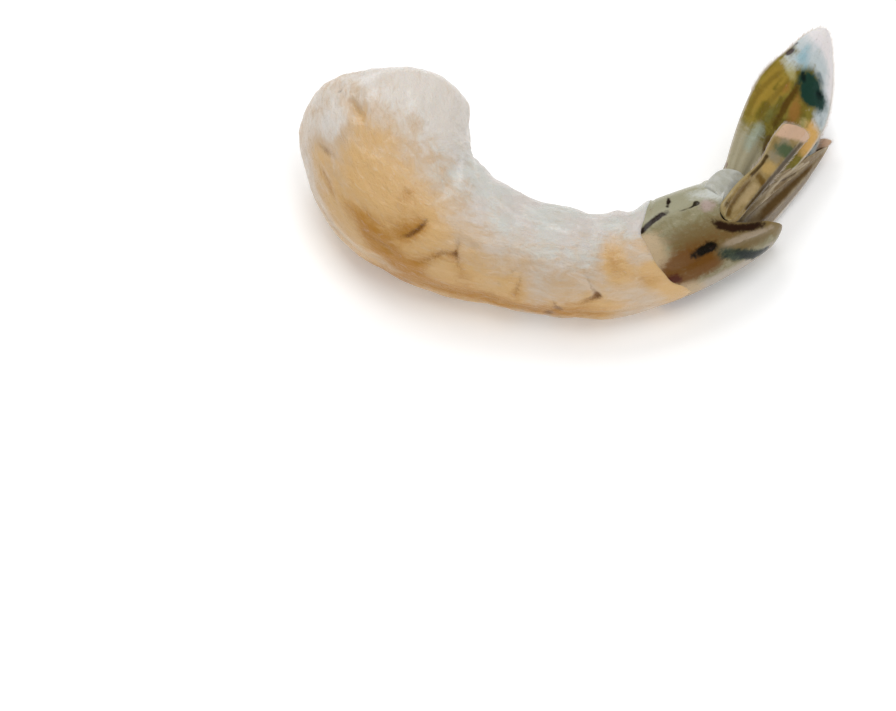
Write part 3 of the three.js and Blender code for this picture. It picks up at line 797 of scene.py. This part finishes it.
def leaf_grid(leaf, rows, around):
    """t from base to tip, the angle round the rim, q from one edge to the other, 1 on the outer face,
    and the canvas to draw on."""
    down = (1 - np.cos(math.pi * np.linspace(0, 1, rows))) / 2
    t, phi = np.meshgrid(down, np.arange(around) * 2 * math.pi / around, indexing="ij")
    q = np.cos(phi)

    def on_leaf(a, b):
        return a * leaf["length"], b * leaf["width"] / 2

    return t, phi, q, ease(-0.15, 0.15, np.sin(phi)), Canvas(*on_leaf(t, q), on_leaf)


def leaf_points(leaf, side, t, phi, relief):
    """Points of a leaf: a thin lens, cambered across, bowed along, with relief on its outer face."""
    base, axis, across, face = leaf_axes(leaf, side)
    q = np.cos(phi)
    half = half_width(leaf, t)
    full = np.clip(half / (leaf["width"] / 4), 0, 1)
    waist, at, long = leaf.get("waist", (0, 0.5, 1))
    half *= (1 - waist * bell(t - at, long) * ease(-0.1, 0.7, q))
    half *= (1 + leaf.get("lean", 0) * ease(0.1, -0.7, q) * np.sin(math.pi * t))
    swell = np.sign(np.sin(phi)) * np.abs(np.sin(phi)) ** 0.8
    lens = leaf["thick"] / 2 * (1 - 0.55 * t) * swell
    rise = (lens + relief * np.abs(swell) - leaf["camber"] * q**2) * full + leaf["bow"] * (t**2 - t)
    skew = leaf.get("slant", 0) * q * half / leaf["width"] * ease(0.5, 0.9, t)
    reach = (t - skew) * leaf["length"]
    return base + axis * reach[..., None] + across * (q * half)[..., None] + face * rise[..., None]


def leaf_fibre(leaf, t, phi):
    return np.stack((t * leaf["length"] * 0.12, np.cos(phi) * leaf["width"] / 2, np.sin(phi) * 0.8), -1)


TELSON = dict(
    tail=-4.4, back=1.9, side=0.6, flex=7, splay=0, fold=34, length=27.6, width=8.6, thick=2.4,
    widest=0.2, base=0.8, tip=1.25, camber=-0.5, bow=0, lean=0.3)
t, phi, q, outer, c = leaf_grid(TELSON, 120, 96)
fade = np.cos(t * math.pi / 2)
telson_ribs = -0.7 * bell(q, 0.17) + 0.3 * bell(q - 0.42, 0.16) + 0.3 * bell(q + 0.42, 0.16)
telson_relief = outer * fade * telson_ribs + outer * 0.12 * np.cos(q * 17) * fade
telson = closed_mesh("telson_spike", leaf_points(TELSON, 1, t, phi, telson_relief), {
    "pale": outer * np.maximum(
        c.line([(0.24, 0.28, 0.8), (0.36, 0.55), (0.5, 0.8, 0.9), (0.7, 0.8)], 0.45),
        c.line([(0.6, 0.62, 0.6), (0.76, 0.55)], 0.5)),
    "dark": outer * c.line([(0.28, 0.72, 0.9), (0.4, 0.85, 0.6), (0.5, 0.6), (0.62, 0.5, 0.7)], 0.35),
    "brown": outer * c.line([(0.24, -0.36, 0.9), (0.4, -0.2), (0.6, -0.16), (0.78, -0.16, 0.7)], 1.1),
    "lilac": c.line([(0.3, -0.66, 0.8), (0.5, -0.66), (0.8, -0.7)], 0.6),
    "fringe": ease(-0.74, -0.92, q) * ease(0.3, 0.42, t),
    "rim": bell(q - 1, 0.09),
    "tip": ease(0.86, 1.0, t),
    "fibre": leaf_fibre(TELSON, t, phi),
})
telson.data.materials.append(cuticle("telson_horn", (138, 122, 92), (124, 104, 74), [
    ("brown", (86, 62, 26), 0.15, 0.95, 0.92),
    ("dark", (70, 52, 26), 0.25, 0.95, 0.85),
    ("lilac", (142, 130, 116), 0.25, 0.95, 0.85),
    ("pale", (172, 156, 128), 0.25, 0.95, 0.88),
    ("fringe", (204, 196, 186), 0.25, 0.95, 0.9),
    ("rim", (176, 156, 122), 0.35, 0.95, 0.6),
    ("tip", (172, 158, 130), 0.3, 0.95, 0.8),
], streaks=1.6))
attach(telson, "root")
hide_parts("telson")


# Protopods. The short, thick joint of each side of the fan, a bare knuckle of cuticle that carries
# both leaves and sits in the pocket of the shell's flank.

PROTOPOD = dict(
    tail=-6.0, back=-2.2, side=3.4, flex=10, splay=3, fold=78, length=8.2, width=8.0, thick=5.2,
    widest=0.45, base=0.9, tip=2.4, camber=0, bow=0)
protopod_finish = cuticle("protopod_horn", (184, 184, 176), (170, 169, 156), [
    ("olive", (150, 142, 112), 0.4, 1.0, 0.5),
    ("dark", (90, 72, 50), 0.4, 1.0, 0.6),
], gloss=(0.22, 0.2))
for name, side in (("upper", 1), ("lower", -1)):
    t, phi, q, _, c = leaf_grid(PROTOPOD, 60, 72)
    dimples = 0.1 * np.cos(q * 9) * np.sin(t * 9)
    knuckle = closed_mesh(name + "_knuckle", leaf_points(PROTOPOD, side, t, phi, dimples), {
        "olive": c.spot(0.8, 0.0, 2.4, 2.5),
        "dark": ease(0.93, 1.0, t),
        "fibre": leaf_fibre(PROTOPOD, t, phi),
    })
    knuckle.data.materials.append(protopod_finish)
    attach(knuckle, "root")
    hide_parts(name + "_protopod")


# Rim bristles. Fine, stiff hairs of horn that grow close together from the edge of each leaf, and
# lean towards its tip.

HAIR_LENGTH = 0.8
HAIR_ROOT = 0.045
HAIR_TIP = 0.006
HAIR_SPACING = 0.16
HAIR_DEPTH = 0.08
STRAY = 0.16
RIM_POINTS = 60

fringe_tree, g, given = tree_of("rim_bristles", [
    ("Length", "NodeSocketFloat", 0.001),
    ("Thickness", "NodeSocketFloat", 0.00004),
    ("Spacing", "NodeSocketFloat", 0.0002),
    ("Seed", "NodeSocketInt", 1),
    ("Hair", "NodeSocketMaterial", None),
])
curve = g.add("GeometryNodeMeshToCurve", None, {"Mesh": given["Geometry"]})
spaced = g.add("GeometryNodeResampleCurve", {"mode": "LENGTH"}, {"Curve": curve, "Length": given["Spacing"]})
way = g.add("GeometryNodeInputNamedAttribute", {"data_type": "FLOAT_VECTOR"}, {"Name": "way"})
stray = g.add("FunctionNodeRandomValue", {"data_type": "FLOAT_VECTOR"}, {
    0: (-STRAY, -STRAY, -STRAY), 1: (STRAY, STRAY, STRAY), "Seed": given["Seed"],
})
loose = g.add("ShaderNodeVectorMath", {"operation": "ADD"}, {0: way, 1: stray})
turned = g.add("FunctionNodeAlignRotationToVector", {"axis": "Z"}, {"Vector": loose})
hair = g.add("GeometryNodeMeshCone", {"fill_type": "NONE"}, {
    "Vertices": 4, "Side Segments": 2, "Radius Top": HAIR_TIP * MM, "Radius Bottom": given["Thickness"],
    "Depth": given["Length"],
})
size = g.add("FunctionNodeRandomValue", {"data_type": "FLOAT"}, {
    2: 0.6, 3: 1.1, "Seed": given["Seed"] + 7,
}, out=1)
placed = g.add("GeometryNodeInstanceOnPoints", None, {
    "Points": spaced, "Instance": hair, "Rotation": turned, "Scale": size,
})
close_tree(g, placed, given["Hair"])

hair_finish, n = finish_of("bristle_horn")
place = n.millimetres()
tone = n.mix(paint(214, 196, 178), paint(182, 170, 160), n.noise(place, 1.4))
n.surface({"Base Color": tone, "Roughness": 0.4, "IOR": 1.5})


def bristles(name, leaf, side, first, last, seed):
    """Fine hairs along a leaf's rim, from t first round the tip and back to last."""
    sweep = np.linspace(first, 1.0, RIM_POINTS)
    t = np.concatenate((sweep, sweep[::-1]))
    outbound = np.arange(len(t)) < RIM_POINTS
    kept = outbound | (t > last)
    t = np.minimum(t[kept], 0.999)
    phi = np.where(outbound[kept], 0.0, math.pi)
    points = leaf_points(leaf, side, t, phi, 0.0)
    _, axis, across, _ = leaf_axes(leaf, side)
    lean = ease(0.3, 1.0, t)
    sideways = across * np.cos(phi)[:, None] * (1 - 0.55 * lean)[:, None]
    outward = unit(sideways + axis * (0.55 + 0.9 * lean)[:, None])
    mesh = bpy.data.meshes.new(name)
    edges = [(i, i + 1) for i in range(len(t) - 1)]
    mesh.from_pydata(((points - outward * HAIR_DEPTH + PLACE) * MM).tolist(), edges, [])
    keep_mark(mesh, "way", outward)
    piece = shown(name, mesh)
    grown(piece, fringe_tree, {
        "Length": HAIR_LENGTH * MM, "Thickness": HAIR_ROOT * MM, "Spacing": HAIR_SPACING * MM,
        "Seed": seed, "Hair": hair_finish,
    })
    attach(piece, "root")


# Endopods. The two inner leaves of the fan, thin hollow-backed blades with a thick inner rib,
# golden at the base, green before the tip and edged with fine bristles.

ENDOPOD = dict(
    tail=-8.2, back=1.2, side=6.0, flex=15, splay=4, fold=62, length=24.3, width=5.4, thick=1.3,
    widest=0.9, base=0.8, tip=6.5, camber=0.4, bow=1.0, slant=0.13, waist=(0.4, 0.54, 0.2))
# The far leaf, moved out along the fan until its edge shows past the near one. The solid that it
# replaces lies about 6 mm further in.
FAR_ENDOPOD = dict(ENDOPOD, tail=1.75, back=1.14, side=5.0, flex=20.9, splay=3, length=22.6)
endopod_finish = cuticle("endopod_horn", (152, 132, 90), (134, 112, 68), [
    ("trough", (174, 152, 112), 0.2, 0.95, 0.9),
    ("brown", (100, 74, 26), 0.2, 0.95, 0.92),
    ("gold", (180, 150, 92), 0.2, 0.9, 0.9),
    ("haze", (140, 130, 106), 0.2, 0.9, 0.85),
    ("green", (70, 88, 60), 0.2, 0.95, 0.92),
    ("dark", (62, 44, 12), 0.2, 0.95, 0.92),
    ("tip", (206, 172, 146), 0.2, 0.95, 0.9),
    ("rim", (168, 152, 108), 0.35, 0.95, 0.6),
])

for name, side, leaf in (("upper", 1, ENDOPOD), ("lower", -1, FAR_ENDOPOD)):
    t, phi, q, outer, c = leaf_grid(leaf, 120, 96)
    cup = 1 - ease(0.3, 0.62, t)
    hollow = cup * (0.35 * bell(np.abs(q) - 0.82, 0.16) - 0.75 * bell(q - 0.12, 0.42))
    relief = outer * (hollow + 0.2 * bell(q + 0.5, 0.14))
    relief += 0.05 * np.cos(q * 16) * (1 - t)
    relief -= outer * 0.2 * bell(q - 0.1, 0.3) * ease(0.5, 0.7, t)
    endopod = closed_mesh(name + "_inner_leaf", leaf_points(leaf, side, t, phi, relief), {
        "trough": outer * c.line([(0.1, -0.1, 0.5), (0.24, -0.16), (0.38, -0.16, 0.9)], 0.9),
        "brown": np.maximum(
            c.line([(0.05, 0.1), (0.1, 0.3), (0.2, 0.4), (0.36, 0.4, 0.8)], 0.8),
            c.line([(0.46, 0.1, 0.9), (0.45, -0.35)], 0.9)),
        "gold": c.line([(0.54, 0.1, 0.9), (0.58, -0.1), (0.62, -0.2, 0.5)], 1.5),
        "haze": c.line([(0.66, 0.5, 0.8), (0.66, 0.0, 0.8), (0.83, 0.2, 0.8)], 1.4),
        "green": c.line([(0.75, 0.2, 0.8), (0.76, -0.1), (0.76, -0.65)], 1.7),
        "dark": np.clip(c.lines(
            (1.0, 0.75, (0.2, -0.74, 0.9), (0.4, -0.74), (0.7, -0.76), (0.88, -0.78, 0.8)),
            (1.0, 0.7, (0.42, 0.74, 0.9), (0.62, 0.76)),
            (0.8, 0.8, (0.07, 0.74), (0.14, 0.74, 0.5))), 0, 1),
        "tip": ease(0.82, 0.91, t + 0.03 * q),
        "rim": np.clip(
            bell(np.abs(q) - 1, 0.12) * ease(-0.9, 0.2, q) + 1 - ease(0.0, 0.04, t), 0, 1),
        "fibre": leaf_fibre(leaf, t, phi),
    })
    endopod.data.materials.append(endopod_finish)
    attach(endopod, "root")
    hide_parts(name + "_endopod")
    bristles(name + "_inner_bristles", leaf, side, 0.45, 0.5, 3 + side)


# Exopods. The two outer leaves, the broadest of the fan: ribbed cuticle with a stiff middle rib,
# olive and gold inside the bend, orange past the rib, a teal spot and a pale bluish tip.

EXOPOD = dict(
    tail=-0.3, back=-2.1, side=3.3, flex=24.5, splay=12, fold=76, length=35.0, width=12.6, thick=1.0,
    widest=0.58, base=0.54, tip=1.7, camber=0.8, bow=1.0, lean=0.32, waist=(0.2, 0.84, 0.16))
# The far leaf, a little smaller where it lies under the near one.
FAR_EXOPOD = dict(EXOPOD, tail=0.3, back=-2.5, flex=24.6, splay=9, length=30.9, width=10.6, base=0.4)
exopod_finish = cuticle("exopod_horn", (130, 117, 48), (102, 93, 32), [
    ("base", (160, 152, 126), 0.1, 0.95, 0.92),
    ("bluish", (148, 156, 138), 0.2, 0.95, 0.85),
    ("green", (110, 110, 62), 0.2, 0.9, 0.6),
    ("gold", (160, 131, 50), 0.15, 1.0, 0.8),
    ("olive", (98, 88, 22), 0.2, 0.9, 0.8),
    ("streak", (104, 84, 24), 0.2, 0.95, 0.6),
    ("lime", (168, 160, 108), 0.2, 0.9, 0.85),
    ("orange", (150, 106, 48), 0.2, 0.9, 0.9),
    ("amber", (212, 168, 100), 0.2, 0.9, 0.92),
    ("pale", (194, 204, 208), 0.15, 0.95, 0.9),
    ("blue", (142, 176, 186), 0.15, 1.0, 0.85),
    ("tip", (228, 222, 222), 0.05, 1.0, 0.92),
    ("haze", (108, 120, 122), 0.3, 1.0, 0.8),
    # Dark midrib; near the base, painted shadow.
    ("midrib_and_shadow", (78, 54, 10), 0.25, 0.9, 0.85),
    ("teal", (14, 54, 46), 0.2, 0.85, 0.96),
    ("jet", (10, 22, 20), 0.3, 0.95, 0.9),
    ("specks", (66, 54, 58), 0.3, 0.9, 0.85),
    ("red", (90, 42, 18), 0.35, 0.8, 0.85),
    ("rim", (200, 192, 180), 0.45, 1.0, 0.6),
], streaks=1.5)
for name, side, leaf in (("upper", 1, EXOPOD), ("lower", -1, FAR_EXOPOD)):
    t, phi, q, outer, c = leaf_grid(leaf, 170, 136)
    fade = np.cos(t * math.pi / 2)
    fans = np.cos(q * 26 + t * 4) * (0.25 + 0.75 * ease(-0.1, 0.4, q)) * 0.05 * (1 - t) ** 0.5
    relief = outer * fade * (0.35 * bell(q + 0.1, 0.12) + 0.2 * bell(q - 0.35, 0.1)) + fans
    streaked = ease(0.32, 0.42, t) * (1 - ease(0.64, 0.72, t))
    exopod = closed_mesh(name + "_outer_leaf", leaf_points(leaf, side, t, phi, relief), {
        "base": 1 - ease(0.2, 0.38, t - 0.04 * q),
        "bluish": c.line([(0.24, 0.5, 0.8), (0.34, 0.4, 0.9)], 1.6),
        "green": c.line([(0.42, 0.3, 0.7), (0.46, 0.3), (0.54, 0.28, 0.6)], 1.5),
        "gold": np.clip(c.lines(
            (1.0, 2.0, (0.38, 0.76, 0.6), (0.5, 0.72), (0.6, 0.7), (0.71, 0.75, 0.7)),
            (0.9, 1.2, (0.5, 0.34, 0.5), (0.6, 0.3), (0.7, 0.25, 0.6))), 0, 1),
        "streak": (0.45 + 0.4 * np.cos(q * 17 + 2 * np.sin(t * 11))) * streaked,
        "olive": np.clip(0.6 * c.spot(0.53, 0.92, 1.6, 0.7) + c.lines(
            (1.0, 1.0, (0.4, 0.56, 0.8), (0.47, 0.5)),
            (0.8, 0.55, (0.57, 0.5), (0.64, 0.46, 0.6)),
            (0.8, 0.5, (0.46, 0.2, 0.8), (0.55, 0.22))), 0, 1),
        "lime": np.maximum(
            c.line([(0.68, 0.25, 0.8), (0.72, 0.5), (0.74, 0.75, 0.7)], 1.2),
            0.8 * c.spot(0.52, -0.55, 1.5, 0.8)),
        "orange": 0.7 * c.spot(0.61, 0.2, 1.6, 0.8) + c.line(
            [(0.46, -0.34, 0.6), (0.54, -0.22), (0.6, -0.16, 0.6)], 1.3),
        "amber": c.line([(0.41, -0.86, 0.8), (0.45, -0.88), (0.53, -0.78, 0.9)], 1.7),
        "pale": np.clip(ease(0.8, 0.86, t) + c.line(
            [(0.76, 0.6, 0.8), (0.81, 0.2), (0.85, -0.25), (0.78, -0.75), (0.6, -0.94)], 2.2), 0, 1),
        "blue": c.line([(0.77, 0.1, 0.7), (0.8, 0.35), (0.85, 0.4, 0.7)], 1.6),
        "tip": np.clip(
            ease(0.82, 0.95, t - 0.03 * q) + ease(0.62, 0.76, t) * bell(q + 1, 0.3), 0, 1),
        "haze": np.maximum(
            c.line([(0.78, -0.45), (0.755, -0.58), (0.71, -0.68, 0.3)], 0.7),
            c.line([(0.62, -0.84, 0.6), (0.58, -0.88, 0.7)], 0.6)),
        "teal": np.clip(0.8 * c.spot(0.645, -0.34, 1.2, 1.2) + c.line(
            [(0.712, -0.16, 0.9), (0.71, -0.34), (0.67, -0.6)], 2.1), 0, 1),
        "jet": c.lines(
            (1.0, 0.7, (0.722, -0.02, 0.9), (0.70, -0.1, 0.8)),
            (0.9, 0.8, (0.70, -0.6), (0.66, -0.66, 0.7))),
        # The dark midrib; near the base it is painted shadow along the inner leaf's edge.
        "midrib_and_shadow": c.line([
            (0.1, -0.1, 0.6), (0.2, -0.18, 0.9), (0.28, -0.02), (0.37, 0.0, 0.6), (0.46, 0.0, 0.9),
            (0.54, 0.01), (0.6, -0.02), (0.67, -0.02, 0.6)], 0.75),
        "specks": np.clip(c.spot(0.79, 0.84, 0.9, 0.5) + c.line(
            [(0.78, 0.9, 0.9), (0.815, 0.95, 0.4), (0.85, 0.94, 0.9)], 0.5), 0, 1),
        "red": c.spot(0.09, 1.0, 0.9, 0.6),
        "rim": bell(np.abs(q) - 1, 0.07),
        "fibre": leaf_fibre(leaf, t, phi),
    })
    exopod.data.materials.append(exopod_finish)
    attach(exopod, "root")
    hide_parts(name + "_exopod")
    bristles(name + "_outer_bristles", leaf, side, 0.5, 0.35, 11 + side)


# Table, light and camera. A plain white table in a bright room, under three large soft lamps, seen
# from the front at 50 degrees through a long lens.

ELEVATION = math.radians(50)
LENS = 800
SENSOR = 36
VIEW_WIDTH = 149.3 * MM
AIM_RIGHT = -20.0
AIM_UP = -24.6

floor_mesh = bpy.data.meshes.new("table")
floor_mesh.from_pydata([(-3, -3, 0), (3, -3, 0), (3, 3, 0), (-3, 3, 0)], [], [(0, 1, 2, 3)])
table = shown("table", floor_mesh)
table_finish, n = finish_of("white_table")
n.surface({
    "Base Color": paint(250, 250, 250), "Roughness": 0.7, "Specular IOR Level": 0.2,
    "Emission Color": paint(255, 255, 255), "Emission Strength": 0.16,
})
floor_mesh.materials.append(table_finish)

world = bpy.data.worlds.new("studio")
bpy.context.scene.world = world
world.use_nodes = True
world.node_tree.nodes.clear()
n = Nodes(world.node_tree)
mirrored = n.add("ShaderNodeLightPath", out="Is Glossy Ray")
dome = n.add("ShaderNodeBackground", None, {
    "Color": (1.0, 1.0, 1.0, 1.0), "Strength": 0.5 - mirrored * 0.36,
})
n.add("ShaderNodeOutputWorld", None, {"Surface": dome})


def lamp(name, place, size, power):
    """A soft lamp at place that shines on the middle of the table."""
    light = bpy.data.lights.new(name, "AREA")
    light.shape = "RECTANGLE"
    light.size, light.size_y = size
    light.energy = power
    head = shown(name, light)
    head.location = place
    head.rotation_mode = "QUATERNION"
    head.rotation_quaternion = (-Vector(place)).to_track_quat("-Z", "Y")


lamp("softbox_back", (-0.25, 0.55, 0.75), (0.7, 0.5), 3.4)
lamp("softbox_top", (0.1, -0.1, 0.9), (0.6, 0.6), 2.3)
lamp("softbox_front", (0.5, -0.7, 0.5), (0.6, 0.6), 1.4)

camera_data = bpy.data.cameras.new("camera")
camera_data.lens = LENS
camera_data.sensor_width = SENSOR
camera = shown("camera", camera_data)
bpy.context.scene.camera = camera
sight = np.array((0.0, -math.cos(ELEVATION), math.sin(ELEVATION)))
up = np.array((0.0, math.sin(ELEVATION), math.cos(ELEVATION)))
aim = np.array((AIM_RIGHT, 0.0, 0.0)) * MM + AIM_UP * MM * up
camera.location = aim + sight * (VIEW_WIDTH * LENS / SENSOR)
camera.rotation_euler = (math.radians(90) - ELEVATION, 0, 0)
camera_data.clip_start = 0.05
camera_data.clip_end = 20
bpy.context.scene.view_settings.view_transform = "Standard"
